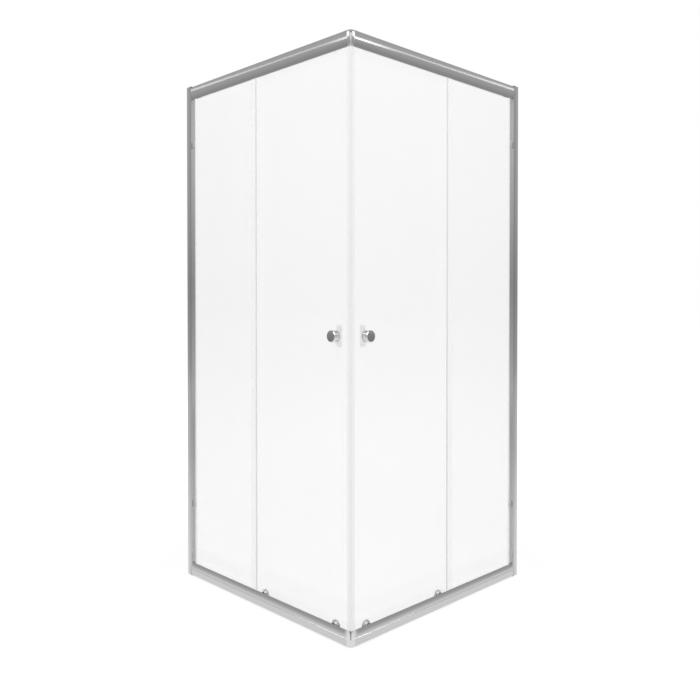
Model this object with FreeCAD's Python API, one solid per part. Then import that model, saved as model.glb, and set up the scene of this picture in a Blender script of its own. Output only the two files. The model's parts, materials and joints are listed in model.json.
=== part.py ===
import FreeCAD, Part
import math
import os

# Corner-entry shower enclosure: two fixed frosted panes and two sliding doors
# that meet at the front corner.
# Millimetres, +Z up, origin at the middle of the square footprint on the floor.
# One side is modelled in side coordinates: s runs from the front corner to the wall,
# e runs inward from the outer face of the rails, z runs up. Both sides are placed from it.

# Overall
SIDE = 890.0
HEIGHT = 1850.0

# Shared walls and clearances
WALL = 1.6
WEB = 2.0
RUN_GAP = 0.3
SHAFT_GAP = 0.05
MITRE_GAP = 0.15
OVERRUN = 5.0

# Rails
RAIL_DEPTH = 49.0
TOP_RAIL_H = 50.0
BOTTOM_RAIL_H = 47.0
SHOULDER_SHARE = 0.375
SKIRT_LIP = 4.2
TOE_R = 8.0
FACE_TOP = 26.0
FACE_EDGE_R = 2.5
RIDGE_H = 49.25
RIDGE_SHARE = 0.575
SLOPE_SHARE = 0.43
INNER_LIP_H = 22.0
GROOVE_DEPTH = 17.0
GROOVE_WALL_H = 40.0
TRACK_W = 1.6
TRACK_H = 2.0
LEDGE_DROP = 35.5
PORT_W = 5.4
PORT_H = 6.4

# Panes
GLASS_T = 5.0
GASKET_T = 1.8
FIXED_SHARE = 0.375
DOOR_SET = 17.0
DOOR_LEAD_GAP = 8.0
PANE_LAP = 36.0
DOOR_FOOT_Z = 24.0
DOOR_HEAD_DROP = 7.0
GLASS_BITE = 5.5
GLASS_HOLE_R = 6.0

# Wall channel and post
CHANNEL_SHOW = 18.0
CHANNEL_LEG = 25.0
POST_SHOW = 13.0
POST_LAP = 3.0
POST_SET = 1.0
POST_EDGE_R = 1.2
WALL_HOLE_R = 2.6
WALL_HOLE_END = 150.0

# Glazing channel with its clamp screws and cover caps
GLAZE_W = 13.0
CLAMP_SCREW_INSET = 1.0
CLAMP_HEAD_R = 2.2
CAP_W = 12.0
CAP_H = 23.0
CAP_T = 2.5
CAP_FROM_TOP = 221.0
CAP_FROM_FOOT = 274.0

# Corner connectors
CORNER_R = 18.0
SPIGOT_LEN = 30.0
SPIGOT_SHARE = 0.4333
SPIGOT_ROOM = 2.4
SPIGOT_GAP = 3.0
SPIGOT_H = 18.0

# Seals
SEAL_T = 1.4
MAGNET_SEAL_REACH = 7.6
MAGNET_W = 4.0
MAGNET_T = 1.6
EDGE_SEAL_T = 1.2
EDGE_SEAL_REACH = 16.0
EDGE_SEAL_NOSE = 1.5
FIN_T = 1.0

# Door travel and rollers
TRAVEL = 330.0
ROLLER_LEAD_INSET = 58.0
ROLLER_TRAIL_INSET = 64.0
OPEN_MARGIN = 79.0
UPPER_WHEEL_R = 12.0
UPPER_TREAD_R = 10.0
WHEEL_W = 6.0
UPPER_JOURNAL_R = 4.0
UPPER_COLLAR_R = 8.0
UPPER_HEAD_R = 10.0
UPPER_HEAD_T = 3.0
WHEEL_STANDOFF = 2.5
AXLE_END_R = 5.2
AXLE_END_T = 1.2
LOWER_AXIS_Z = 33.0
LOWER_WHEEL_R = 9.0
LOWER_TREAD_R = 7.0
LOWER_PIN_R = 2.5
LOWER_PIN_HEAD_R = 3.7
LOWER_PIN_HEAD_T = 1.0
LOWER_COLLAR_R = 4.0
CONE_BASE_R = 17.5
CONE_FACE_R = 8.0
CONE_SHARE = 0.862
CONE_RIM = 2.0
CONE_STUB_R = 2.6
CONE_STUB_LEN = 6.0
HOUSING_R = 17.0
HOUSING_T = 10.0
HOUSING_BACK = 2.0
SLIDER_T = 2.0
SLIDER_W = 14.0
SLIDER_GAP = 0.2
SLIDER_TAIL = 4.0
TAB_REACH = 8.0
TAB_T = 2.0
TAB_LIFT = 1.0
RELEASE_LIFT = 2.2
SPRING_R = 1.5
SPRING_WIRE_R = 0.3
SPRING_TURNS = 5
SPRING_ROOM = 4.6
SPRING_PACKED = 11.0
POCKET_DROP = 7.0
LUG_H = 3.5

# Handle
HANDLE_Z = 932.5
KNOB_R = 18.8
KNOB_NECK_R = 17.0
KNOB_LEN = 21.0
KNOB_DISC_T = 4.0
KNOB_BEVEL = 1.5
WASHER_T = 1.0
HANDLE_BASE_R = 17.0
HANDLE_BASE_T = 6.0
BAR_W = 14.0
BAR_H = 68.0
BAR_EDGE_R = 3.0
BAR_T = 12.0
STUD_R = 3.0
STUD_BITE = 8.0

# Screws and stops
SCREW_R = 1.45
SCREW_LEN = 16.0
SCREW_HEAD_R = 2.7
SCREW_HEAD_T = 2.0
GRUB_LEN = 10.0
STOP_LEN = 8.0
STOP_H = 14.0

HALF = SIDE / 2
SIN45 = math.sqrt(0.5)

# Places that several pieces share
POST_S = SIDE - CHANNEL_SHOW - POST_SHOW
GLAZE_S = POST_S - GLAZE_W
DOOR_E = RAIL_DEPTH - DOOR_SET
SHOULDER_R = DOOR_E * SHOULDER_SHARE
FIXED_E = DOOR_E * FIXED_SHARE
FIXED_BACK_E = FIXED_E + GLASS_T
DOOR_BACK_E = DOOR_E + GLASS_T
DOOR_LEAD_S = DOOR_E + DOOR_LEAD_GAP
ROLLER_FRONT_S = DOOR_LEAD_S + ROLLER_LEAD_INSET
ROLLER_REAR_S = POST_S - OPEN_MARGIN - TRAVEL
DOOR_TRAIL_S = ROLLER_REAR_S + ROLLER_TRAIL_INSET
FIXED_FREE_S = DOOR_TRAIL_S - PANE_LAP
GROOVE_E = FIXED_E - GASKET_T
SKIRT_SET = GROOVE_E - SKIRT_LIP
RIDGE_SET = (GROOVE_E - WALL) * RIDGE_SHARE
FACE_EDGE_SET = FACE_EDGE_R * (1 - SIN45)
SPIGOT_E = SHOULDER_R * SPIGOT_SHARE
GROOVE_BACK_E = FIXED_BACK_E + GASKET_T
BOTTOM_GROOVE_Z = BOTTOM_RAIL_H - GROOVE_DEPTH
TOP_GROOVE_Z = HEIGHT - TOP_RAIL_H + GROOVE_DEPTH
TOP_SKIRT_Z = HEIGHT - TOP_RAIL_H
FIXED_WALL_S = GLAZE_S + GLASS_BITE
UPPER_WHEEL_E = DOOR_BACK_E + WHEEL_STANDOFF
UPPER_TRACK_E = UPPER_WHEEL_E + WHEEL_W / 2
UPPER_TRACK_Z = HEIGHT - LEDGE_DROP + TRACK_H
UPPER_AXIS_Z = UPPER_TRACK_Z + UPPER_TREAD_R + RUN_GAP
CONE_LEN = (DOOR_E - GROOVE_BACK_E - WALL) * CONE_SHARE
LOWER_TRACK_E = DOOR_E + GLASS_T / 2
LOWER_PIN_Z = WEB + TRACK_H + LOWER_TREAD_R + RUN_GAP
SLIDER_E = DOOR_BACK_E + HOUSING_BACK + SLIDER_GAP
PORT_E = RAIL_DEPTH - WALL - PORT_W / 2
FRONT_PORT_E = GROOVE_BACK_E - PORT_W / 2
SPIGOT_W = GROOVE_BACK_E - PORT_W - SPIGOT_ROOM - SPIGOT_E
BOTTOM_PORT_Z = WEB + PORT_H / 2
TOP_PORT_Z = HEIGHT - WALL - PORT_H / 2
ROLLER_PLACES = {"front": ROLLER_FRONT_S, "rear": ROLLER_REAR_S}


def v(s, e, z):
    return FreeCAD.Vector(s, e, z)


ALONG_S = v(1, 0, 0)
ALONG_E = v(0, 1, 0)
ALONG_Z = v(0, 0, 1)


def face_of(start, steps, to_space):
    """Closed face from a start point and steps.

    A point is a line to it; a pair of points is an arc by way of the first.
    """
    edges = []
    here = start
    last = steps[-1][1] if isinstance(steps[-1][0], tuple) else steps[-1]
    closing = [] if last == start else [start]
    for step in steps + closing:
        if isinstance(step[0], tuple):
            way, there = step
            edges.append(Part.Arc(to_space(*here), to_space(*way), to_space(*there)).toShape())
        else:
            there = step
            edges.append(Part.LineSegment(to_space(*here), to_space(*there)).toShape())
        here = there
    return Part.Face(Part.Wire(edges))


def box(s0, s1, e0, e1, z0, z1):
    return Part.makeBox(s1 - s0, e1 - e0, z1 - z0, v(s0, e0, z0))


def rod(radius, s, z, e0, e1):
    """Round bar through the pane direction."""
    return Part.makeCylinder(radius, e1 - e0, v(s, e0, z), ALONG_E)


def rail_rod(radius, e, z, s0, s1):
    """Round bar along the rail."""
    return Part.makeCylinder(radius, s1 - s0, v(s0, e, z), ALONG_S)


def upright_rod(radius, s, e, z0, z1):
    return Part.makeCylinder(radius, z1 - z0, v(s, e, z0), ALONG_Z)


def plan_prism(start, steps, z0, z1):
    """Upright extrusion of a plan outline given as (s, e) points."""
    return face_of(start, steps, lambda s, e: v(s, e, z0)).extrude(v(0, 0, z1 - z0))


def turned(s, z, start, steps):
    """Solid turned about the pane direction through (s, z) from an (e, radius) outline."""
    half = face_of(start, steps, lambda e, r: v(s, e, z + r))
    return half.revolve(v(s, 0, z), ALONG_E, 360)


def rounded_back(e0, e1, inset):
    """Middle of a 45 degree round that cuts the corner from e0 towards e1."""
    return e0 + math.copysign(inset * (1 - SIN45), e1 - e0)


def top_front():
    """Outline steps of the top rail's front, from the top edge over the shoulder down to the skirt."""
    shoulder_mid = rounded_back(0, SHOULDER_R, SHOULDER_R)
    face_mid_z = HEIGHT - (SHOULDER_R + TOP_RAIL_H) / 2
    return [
        ((shoulder_mid, HEIGHT - shoulder_mid), (0, HEIGHT - SHOULDER_R)),
        ((SKIRT_SET / 4, face_mid_z), (SKIRT_SET, TOP_SKIRT_Z)),
    ]


def bottom_front():
    """Outline steps of the bottom rail's front, from the toe up the face and back to the ridge."""
    toe_mid = rounded_back(0, TOE_R, TOE_R)
    edge_z = FACE_TOP - FACE_EDGE_R * SIN45
    half_turn = math.pi / 8
    edge_mid_e = FACE_EDGE_R * (1 - math.cos(half_turn))
    edge_mid_z = edge_z + FACE_EDGE_R * math.sin(half_turn)
    return [
        ((toe_mid, toe_mid), (0, TOE_R)),
        (0, edge_z),
        ((edge_mid_e, edge_mid_z), (FACE_EDGE_SET, FACE_TOP)),
        ((slope_mid_e(), (FACE_TOP + RIDGE_H) / 2), (RIDGE_SET, RIDGE_H)),
    ]


def slope_mid_e():
    """Set-back of the slope under the ridge at half its height, a little in front of a straight line."""
    return FACE_EDGE_SET + (RIDGE_SET - FACE_EDGE_SET) * SLOPE_SHARE


def rail_bar(start, steps):
    section = face_of(start, steps, lambda e, z: v(CORNER_R, e, z))
    return section.extrude(v(POST_S - CORNER_R, 0, 0))


def mitre_cut(rail):
    """Trim the rail on the diagonal so that the two rails meet inside the corner connector."""
    low = CORNER_R - OVERRUN
    high = RAIL_DEPTH + OVERRUN
    waste = plan_prism(
        (low + MITRE_GAP, low),
        [(high + MITRE_GAP, high), (low + MITRE_GAP, high)],
        -OVERRUN,
        HEIGHT + OVERRUN,
    )
    return rail.cut(waste)


def rail_ports(rail, port_z):
    port_end = POST_S + OVERRUN
    for port_e in (FRONT_PORT_E, PORT_E):
        port = rail_rod(SCREW_R + SHAFT_GAP, port_e, port_z, POST_S - SCREW_LEN, port_end)
        rail = rail.cut(port)
    return rail


def top_rail():
    track = [
        (RAIL_DEPTH - WALL, HEIGHT - LEDGE_DROP),
        (UPPER_TRACK_E + TRACK_W / 2, HEIGHT - LEDGE_DROP),
        (UPPER_TRACK_E + TRACK_W / 2, UPPER_TRACK_Z),
        (UPPER_TRACK_E - TRACK_W / 2, UPPER_TRACK_Z),
        (UPPER_TRACK_E - TRACK_W / 2, HEIGHT - LEDGE_DROP),
        (UPPER_WHEEL_E - SLIDER_GAP, HEIGHT - LEDGE_DROP),
        (UPPER_WHEEL_E - SLIDER_GAP, HEIGHT - LEDGE_DROP - WALL),
        (RAIL_DEPTH, HEIGHT - LEDGE_DROP - WALL),
        (RAIL_DEPTH, HEIGHT),
    ]
    port = [
        (RAIL_DEPTH - WALL - PORT_W, HEIGHT - WALL),
        (RAIL_DEPTH - WALL - PORT_W, HEIGHT - WALL - PORT_H),
        (RAIL_DEPTH - WALL, HEIGHT - WALL - PORT_H),
    ]
    groove = [
        (GROOVE_E, TOP_SKIRT_Z),
        (GROOVE_E, TOP_GROOVE_Z),
        (GROOVE_BACK_E, TOP_GROOVE_Z),
        (GROOVE_BACK_E, HEIGHT - GROOVE_WALL_H),
        (GROOVE_BACK_E + WALL, HEIGHT - GROOVE_WALL_H),
        (GROOVE_BACK_E + WALL, HEIGHT - WALL),
    ]
    bar = rail_bar((SHOULDER_R, HEIGHT), top_front() + groove + port + track)
    return rail_ports(mitre_cut(bar.cut(top_chamber())), TOP_PORT_Z)


def top_chamber():
    """Hollow behind the top rail's front wall, around the front screw port."""
    inner_r = SHOULDER_R - WALL
    shoulder_mid = WALL + rounded_back(0, inner_r, inner_r)
    face_mid_z = HEIGHT - (SHOULDER_R + TOP_RAIL_H) / 2
    roof_z = HEIGHT - WALL
    return rail_bar(
        (SHOULDER_R, roof_z),
        [
            ((shoulder_mid, HEIGHT - shoulder_mid), (WALL, HEIGHT - SHOULDER_R)),
            ((SKIRT_SET / 4 + WALL, face_mid_z), (SKIRT_SET + WALL, TOP_SKIRT_Z + WALL)),
            (GROOVE_E - WALL, TOP_SKIRT_Z + WALL),
            (GROOVE_E - WALL, TOP_GROOVE_Z + WALL),
            (GROOVE_BACK_E, TOP_GROOVE_Z + WALL),
            (GROOVE_BACK_E, roof_z - PORT_H),
            (GROOVE_BACK_E - PORT_W, roof_z - PORT_H),
            (GROOVE_BACK_E - PORT_W, roof_z),
        ],
    )


def bottom_rail():
    groove = [
        (GROOVE_E - WALL, BOTTOM_RAIL_H),
        (GROOVE_E, BOTTOM_RAIL_H),
        (GROOVE_E, BOTTOM_GROOVE_Z),
        (GROOVE_BACK_E, BOTTOM_GROOVE_Z),
        (GROOVE_BACK_E, GROOVE_WALL_H),
        (GROOVE_BACK_E + WALL, GROOVE_WALL_H),
        (GROOVE_BACK_E + WALL, WEB),
    ]
    track = [
        (LOWER_TRACK_E - TRACK_W / 2, WEB),
        (LOWER_TRACK_E - TRACK_W / 2, WEB + TRACK_H),
        (LOWER_TRACK_E + TRACK_W / 2, WEB + TRACK_H),
        (LOWER_TRACK_E + TRACK_W / 2, WEB),
    ]
    inner = [
        (RAIL_DEPTH - WALL - PORT_W, WEB),
        (RAIL_DEPTH - WALL - PORT_W, WEB + PORT_H),
        (RAIL_DEPTH - WALL, WEB + PORT_H),
        (RAIL_DEPTH - WALL, INNER_LIP_H),
        (RAIL_DEPTH, INNER_LIP_H),
        (RAIL_DEPTH, 0),
    ]
    bar = rail_bar((TOE_R, 0), bottom_front() + groove + track + inner)
    return rail_ports(mitre_cut(bar.cut(bottom_chamber())), BOTTOM_PORT_Z)


def bottom_chamber():
    """Hollow behind the bottom rail's front wall, around the front screw port."""
    inner_r = TOE_R - WEB
    toe_mid = WEB + rounded_back(0, inner_r, inner_r)
    crown_z = (FACE_TOP + RIDGE_H) / 2
    back_e = GROOVE_E - WALL - WALL
    return rail_bar(
        (TOE_R, WEB),
        [
            ((toe_mid, toe_mid), (WEB, TOE_R)),
            (WEB, FACE_TOP - WEB),
            (slope_mid_e() + WALL, crown_z),
            (back_e, crown_z),
            (back_e, BOTTOM_GROOVE_Z - WALL),
            (GROOVE_BACK_E, BOTTOM_GROOVE_Z - WALL),
            (GROOVE_BACK_E, WEB + PORT_H),
            (GROOVE_BACK_E - PORT_W, WEB + PORT_H),
            (GROOVE_BACK_E - PORT_W, WEB),
        ],
    )


def corner_connector(start, steps, spigot_z):
    """The rail's front turned a quarter round, with a spigot into each rail's hollow."""
    section = face_of(start, steps, lambda e, z: v(CORNER_R, e, z))
    quarter = section.revolve(v(CORNER_R, CORNER_R, 0), ALONG_Z, -90)
    spigot_back = SPIGOT_E + SPIGOT_W
    spigot_top = spigot_z + SPIGOT_H
    spigot = box(CORNER_R, CORNER_R + SPIGOT_LEN, SPIGOT_E, spigot_back, spigot_z, spigot_top)
    hole = upright_rod(
        SCREW_R + SHAFT_GAP,
        spigot_screw_s(),
        spigot_screw_e(),
        spigot_z - OVERRUN,
        spigot_top + OVERRUN,
    )
    spigot = spigot.cut(hole)
    other = spigot.mirror(v(0, 0, 0), v(1, -1, 0))
    return quarter.fuse([spigot, other]).removeSplitter()


def spigot_screw_s():
    return CORNER_R + SPIGOT_LEN / 2


def spigot_screw_e():
    return SPIGOT_E + SPIGOT_W / 2


def top_spigot_z():
    return HEIGHT - WALL - SPIGOT_GAP - SPIGOT_H


def bottom_spigot_z():
    return WEB + SPIGOT_GAP


def top_corner_connector():
    back = [(SHOULDER_R, TOP_SKIRT_Z)]
    return corner_connector((SHOULDER_R, HEIGHT), top_front() + back, top_spigot_z())


def bottom_corner_connector():
    back = [(SHOULDER_R, BOTTOM_RAIL_H), (SHOULDER_R, 0)]
    return corner_connector((TOE_R, 0), bottom_front() + back, bottom_spigot_z())


def connector_screws():
    """Grub screws through the rails' webs into the spigots, on one side."""
    s = spigot_screw_s()
    e = spigot_screw_e()
    return [
        upright_rod(SCREW_R, s, e, 0, GRUB_LEN),
        upright_rod(SCREW_R, s, e, HEIGHT - GRUB_LEN, HEIGHT),
    ]


def grub_holes():
    s = spigot_screw_s()
    e = spigot_screw_e()
    low = upright_rod(SCREW_R + SHAFT_GAP, s, e, -OVERRUN, WEB + SPIGOT_GAP)
    high = upright_rod(SCREW_R + SHAFT_GAP, s, e, HEIGHT - WALL - SPIGOT_GAP, HEIGHT + OVERRUN)
    return low, high


def wall_channel():
    front = POST_SET + WALL + RUN_GAP
    back = RAIL_DEPTH - WALL - RUN_GAP
    leg_s = SIDE - CHANNEL_LEG
    shape = plan_prism(
        (SIDE, front),
        [
            (leg_s, front),
            (leg_s, front + WALL),
            (SIDE - WEB, front + WALL),
            (SIDE - WEB, back - WALL),
            (leg_s, back - WALL),
            (leg_s, back),
            (SIDE, back),
        ],
        0,
        HEIGHT,
    )
    for z in wall_hole_heights():
        wall_hole = rail_rod(
            WALL_HOLE_R, (front + back) / 2, z, SIDE - WEB - OVERRUN, SIDE + OVERRUN
        )
        adjust_hole = rod(
            SCREW_R + SHAFT_GAP, adjust_s(), z, back - WALL - OVERRUN, back + OVERRUN
        )
        shape = shape.cut(wall_hole)
        shape = shape.cut(adjust_hole)
    return shape


def wall_hole_heights():
    return WALL_HOLE_END, HEIGHT / 2, HEIGHT - WALL_HOLE_END


def adjust_s():
    """Line of the adjusting screws, in the lap of the post over the channel."""
    return (SIDE - CHANNEL_LEG + POST_S + POST_SHOW) / 2


def side_post():
    end_s = POST_S + POST_SHOW
    round_mid = rounded_back(0, POST_EDGE_R, POST_EDGE_R)
    shape = plan_prism(
        (POST_S + POST_EDGE_R, POST_SET),
        [
            (end_s - POST_EDGE_R, POST_SET),
            ((end_s - round_mid, POST_SET + round_mid), (end_s, POST_SET + POST_EDGE_R)),
            (end_s, POST_SET + WALL),
            (POST_S + WEB, POST_SET + WALL),
            (POST_S + WEB, RAIL_DEPTH - WALL),
            (end_s + POST_LAP, RAIL_DEPTH - WALL),
            (end_s + POST_LAP, RAIL_DEPTH),
            (POST_S, RAIL_DEPTH),
            (POST_S, POST_SET + POST_EDGE_R),
            ((POST_S + round_mid, POST_SET + round_mid), (POST_S + POST_EDGE_R, POST_SET)),
        ],
        0,
        HEIGHT,
    )
    for e in (FRONT_PORT_E, PORT_E):
        for z in (BOTTOM_PORT_Z, TOP_PORT_Z):
            hole = rail_rod(SCREW_R + SHAFT_GAP, e, z, POST_S - OVERRUN, POST_S + WEB + OVERRUN)
            shape = shape.cut(hole)
    inner = RAIL_DEPTH - WALL - RUN_GAP
    for z in wall_hole_heights():
        hole = rod(SCREW_R + SHAFT_GAP, adjust_s(), z, inner, RAIL_DEPTH + OVERRUN)
        shape = shape.cut(hole)
    return shape


def rail_screws():
    """Screws through the post into the rails' ports."""
    places = [(e, z) for e in (FRONT_PORT_E, PORT_E) for z in (BOTTOM_PORT_Z, TOP_PORT_Z)]
    head_s = POST_S + WEB
    return [
        rail_rod(SCREW_R, e, z, head_s - SCREW_LEN, head_s).fuse(
            rail_rod(SCREW_HEAD_R, e, z, head_s, head_s + SCREW_HEAD_T)
        )
        for e, z in places
    ]


def adjusting_screws():
    """Pan-head screws from inside the cabin that lock the post on the wall channel."""
    tip_e = RAIL_DEPTH - WALL - RUN_GAP - WALL - SCREW_HEAD_T
    return [
        rod(SCREW_R, adjust_s(), z, tip_e, RAIL_DEPTH).fuse(
            rod(SCREW_HEAD_R, adjust_s(), z, RAIL_DEPTH, RAIL_DEPTH + SCREW_HEAD_T)
        )
        for z in wall_hole_heights()
    ]


def cap_heights():
    return CAP_FROM_FOOT, HEIGHT - CAP_FROM_TOP


def clamp_screw_s():
    return POST_S - WALL - CLAMP_SCREW_INSET / 2 - SCREW_R


def glazing_channel():
    front = GROOVE_E - WALL
    back = GROOVE_BACK_E + WALL
    shape = plan_prism(
        (GLAZE_S, front),
        [
            (POST_S, front),
            (POST_S, back),
            (GLAZE_S, back),
            (GLAZE_S, GROOVE_BACK_E),
            (POST_S - WALL, GROOVE_BACK_E),
            (POST_S - WALL, GROOVE_E),
            (GLAZE_S, GROOVE_E),
        ],
        BOTTOM_RAIL_H,
        TOP_SKIRT_Z,
    )
    for z in cap_heights():
        shape = shape.cut(rod(SCREW_R + SHAFT_GAP, clamp_screw_s(), z, front - OVERRUN, back + OVERRUN))
    return shape


def clamp_screws():
    """Screws that pinch the glazing channel on the pane, under the cover caps."""
    front = GROOVE_E - WALL
    back = GROOVE_BACK_E + WALL
    return [
        rod(SCREW_R, clamp_screw_s(), z, front, back).fuse(
            rod(CLAMP_HEAD_R, clamp_screw_s(), z, front - CAP_T / 2, front)
        )
        for z in cap_heights()
    ]


def screw_caps():
    """Rounded cover caps over the clamp screws."""
    mid_s = (GLAZE_S + POST_S) / 2
    front = GROOVE_E - WALL
    straight = (CAP_H - CAP_W) / 2
    caps = []
    for z in cap_heights():
        outline = face_of(
            (mid_s - CAP_W / 2, z - straight),
            [
                ((mid_s, z - CAP_H / 2), (mid_s + CAP_W / 2, z - straight)),
                (mid_s + CAP_W / 2, z + straight),
                ((mid_s, z + CAP_H / 2), (mid_s - CAP_W / 2, z + straight)),
            ],
            lambda s, height: v(s, front, height),
        )
        cap = outline.extrude(v(0, -CAP_T, 0))
        rim = [edge for edge in cap.Edges if edge.BoundBox.YMax < front - CAP_T / 2]
        cap = cap.makeFillet(CAP_T / 3, rim)
        room_front = front - CAP_T / 2 - SLIDER_GAP
        room = rod(CLAMP_HEAD_R + SLIDER_GAP, clamp_screw_s(), z, room_front, front + OVERRUN)
        caps.append(cap.cut(room))
    return caps


def fixed_glass():
    low = BOTTOM_GROOVE_Z + GASKET_T
    return box(FIXED_FREE_S, FIXED_WALL_S, FIXED_E, FIXED_BACK_E, low, TOP_GROOVE_Z - GASKET_T)


def fixed_glass_gasket():
    """Soft U-strips that hold the fixed pane in the rails and in the glazing channel."""

    def run(floor_z, lift, outer_z, inner_z):
        section = face_of(
            (GROOVE_E, floor_z),
            [
                (GROOVE_BACK_E, floor_z),
                (GROOVE_BACK_E, inner_z),
                (FIXED_BACK_E, inner_z),
                (FIXED_BACK_E, floor_z + lift),
                (FIXED_E, floor_z + lift),
                (FIXED_E, outer_z),
                (GROOVE_E, outer_z),
            ],
            lambda e, z: v(FIXED_FREE_S, e, z),
        )
        return section.extrude(v(FIXED_WALL_S - FIXED_FREE_S, 0, 0))

    upright = plan_prism(
        (GLAZE_S, GROOVE_E),
        [
            (FIXED_WALL_S + GASKET_T, GROOVE_E),
            (FIXED_WALL_S + GASKET_T, GROOVE_BACK_E),
            (GLAZE_S, GROOVE_BACK_E),
            (GLAZE_S, FIXED_BACK_E),
            (FIXED_WALL_S, FIXED_BACK_E),
            (FIXED_WALL_S, FIXED_E),
            (GLAZE_S, FIXED_E),
        ],
        BOTTOM_RAIL_H,
        TOP_SKIRT_Z,
    )
    return [
        run(BOTTOM_GROOVE_Z, GASKET_T, BOTTOM_RAIL_H, GROOVE_WALL_H),
        run(TOP_GROOVE_Z, -GASKET_T, TOP_SKIRT_Z, HEIGHT - GROOVE_WALL_H),
        upright,
    ]


def fixed_edge_seal():
    """Clear U-strip on the fixed pane's free edge."""
    nose = FIXED_FREE_S - EDGE_SEAL_NOSE
    reach = FIXED_FREE_S + EDGE_SEAL_REACH
    face = FIXED_E - EDGE_SEAL_T
    round_by = (nose + EDGE_SEAL_T * (1 - SIN45), FIXED_E - EDGE_SEAL_T * SIN45)
    return plan_prism(
        (nose, FIXED_E),
        [
            (round_by, (nose + EDGE_SEAL_T, face)),
            (reach, face),
            (reach, FIXED_E),
            (FIXED_FREE_S, FIXED_E),
            (FIXED_FREE_S, FIXED_BACK_E),
            (reach, FIXED_BACK_E),
            (reach, FIXED_BACK_E + EDGE_SEAL_T),
            (nose + EDGE_SEAL_T, FIXED_BACK_E + EDGE_SEAL_T),
            (nose, FIXED_BACK_E),
        ],
        BOTTOM_RAIL_H + RUN_GAP,
        TOP_SKIRT_Z - RUN_GAP,
    )


def door_height():
    return DOOR_FOOT_Z, HEIGHT - DOOR_HEAD_DROP


def seal_height():
    """The trailing seal runs between the rails' grooves, clear of their lips."""
    return BOTTOM_RAIL_H + RUN_GAP, TOP_SKIRT_Z - RUN_GAP


def lead_seal_height():
    """The leading seal runs from the door's foot up to the upper track's ledge."""
    return DOOR_FOOT_Z, HEIGHT - LEDGE_DROP - WALL - RUN_GAP


def door_glass():
    foot, head = door_height()
    pane = box(DOOR_LEAD_S, DOOR_TRAIL_S, DOOR_E, DOOR_BACK_E, foot, head)
    holes = [(s, z) for s in ROLLER_PLACES.values() for z in (LOWER_AXIS_Z, UPPER_AXIS_Z)]
    holes.append((ROLLER_FRONT_S, HANDLE_Z))
    for s, z in holes:
        pane = pane.cut(rod(GLASS_HOLE_R, s, z, DOOR_E - OVERRUN, DOOR_BACK_E + OVERRUN))
    return pane


def magnet_outline(width, thick):
    """Corners of the magnet bar, which lies along the diagonal where the doors meet."""
    middle_e = LOWER_TRACK_E
    middle_s = (middle_e + DOOR_LEAD_S) / 2 + MAGNET_T / 4
    along = width / 2 * SIN45
    across = thick / 2 * SIN45
    return [
        (middle_s - along - across, middle_e - along + across),
        (middle_s - along + across, middle_e - along - across),
        (middle_s + along + across, middle_e + along - across),
        (middle_s + along - across, middle_e + along + across),
    ]


def magnet_seal():
    """Strip on the door's leading edge, bevelled on the diagonal, with a pocket for the magnet."""
    outer = DOOR_E - SEAL_T
    inner = DOOR_BACK_E + SEAL_T
    reach = DOOR_LEAD_S + MAGNET_SEAL_REACH
    low, high = lead_seal_height()
    strip = plan_prism(
        (outer + MITRE_GAP, outer),
        [
            (reach, outer),
            (reach, DOOR_E),
            (DOOR_LEAD_S, DOOR_E),
            (DOOR_LEAD_S, DOOR_BACK_E),
            (reach, DOOR_BACK_E),
            (reach, inner),
            (inner + MITRE_GAP, inner),
        ],
        low,
        high,
    )
    corners = magnet_outline(MAGNET_W, MAGNET_T)
    return strip.cut(plan_prism(corners[0], corners[1:], low - OVERRUN, high + OVERRUN))


def magnet_strip():
    corners = magnet_outline(MAGNET_W, MAGNET_T)
    low, high = lead_seal_height()
    return plan_prism(corners[0], corners[1:], low, high)


def door_edge_seal():
    """Strip on the door's trailing edge, with a soft fin that wipes along the fixed pane."""
    nose = DOOR_TRAIL_S + EDGE_SEAL_NOSE
    reach = DOOR_TRAIL_S - EDGE_SEAL_REACH
    fin_s = DOOR_TRAIL_S - EDGE_SEAL_REACH / 2
    outer = DOOR_E - EDGE_SEAL_T
    tip = FIXED_BACK_E + RUN_GAP
    low, high = seal_height()
    return plan_prism(
        (nose, outer),
        [
            (nose, DOOR_BACK_E + EDGE_SEAL_T),
            (reach, DOOR_BACK_E + EDGE_SEAL_T),
            (reach, DOOR_BACK_E),
            (DOOR_TRAIL_S, DOOR_BACK_E),
            (DOOR_TRAIL_S, DOOR_E),
            (reach, DOOR_E),
            (reach, outer),
            (fin_s, outer),
            (fin_s, tip),
            (fin_s + FIN_T, tip),
            (fin_s + FIN_T, outer),
        ],
        low,
        high,
    )


def knob_base_e():
    return DOOR_E - WASHER_T


def handle_base_e():
    return DOOR_BACK_E + WASHER_T


def door_knob():
    """Turned pull knob: plain body, wider front disc with bevelled rims."""
    base = knob_base_e()
    face = base - KNOB_LEN
    bore = STUD_R + SHAFT_GAP
    disc = face + KNOB_DISC_T
    return turned(
        ROLLER_FRONT_S,
        HANDLE_Z,
        (base, bore),
        [
            (base, KNOB_NECK_R - KNOB_BEVEL / 2),
            (base - KNOB_BEVEL / 2, KNOB_NECK_R),
            (disc, KNOB_NECK_R),
            (disc, KNOB_R),
            (face + KNOB_BEVEL, KNOB_R),
            (face, KNOB_R - KNOB_BEVEL),
            (face, 0),
            (base - STUD_BITE - RUN_GAP, 0),
            (base - STUD_BITE - RUN_GAP, bore),
        ],
    )


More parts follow.
